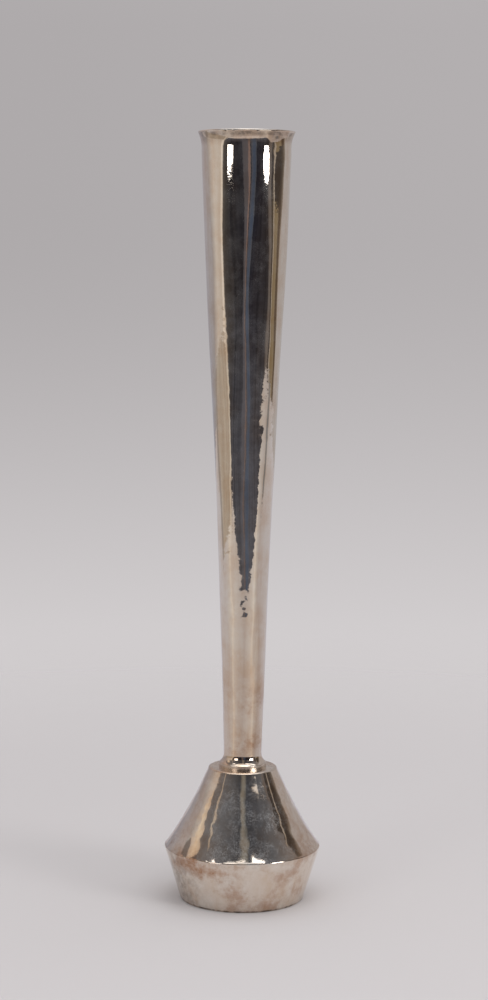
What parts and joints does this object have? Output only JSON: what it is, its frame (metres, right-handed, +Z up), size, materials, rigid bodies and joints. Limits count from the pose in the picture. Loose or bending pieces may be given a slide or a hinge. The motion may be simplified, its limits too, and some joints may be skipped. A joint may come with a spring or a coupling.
{
  "type": "trumpet vase",
  "caption": "Tall hammered silver trumpet vase: slim tapering tube with a turned-out lip, set in a cove collar on a weighted base of two cones.",
  "frame": {"origin": "centre of the underside, on the surface that the vase stands on", "axes": "+Z up along the tube's axis; the vase is a body of revolution, so X and Y are free, with -Y towards the picture's camera"},
  "size_m": [0.082, 0.082, 0.4],
  "materials": {
    "hammered_silver": "polished",
    "plain_silver": "satin",
    "cement": "matte"
  },
  "bodies": {
    "root": {"trumpet_tube": "hammered_silver", "tube_end_disc": "plain_silver", "collar": "hammered_silver", "base_bell": "hammered_silver", "base_band": "hammered_silver", "base_plate": "plain_silver", "base_filling": "cement"}
  },
  "joints": []
}
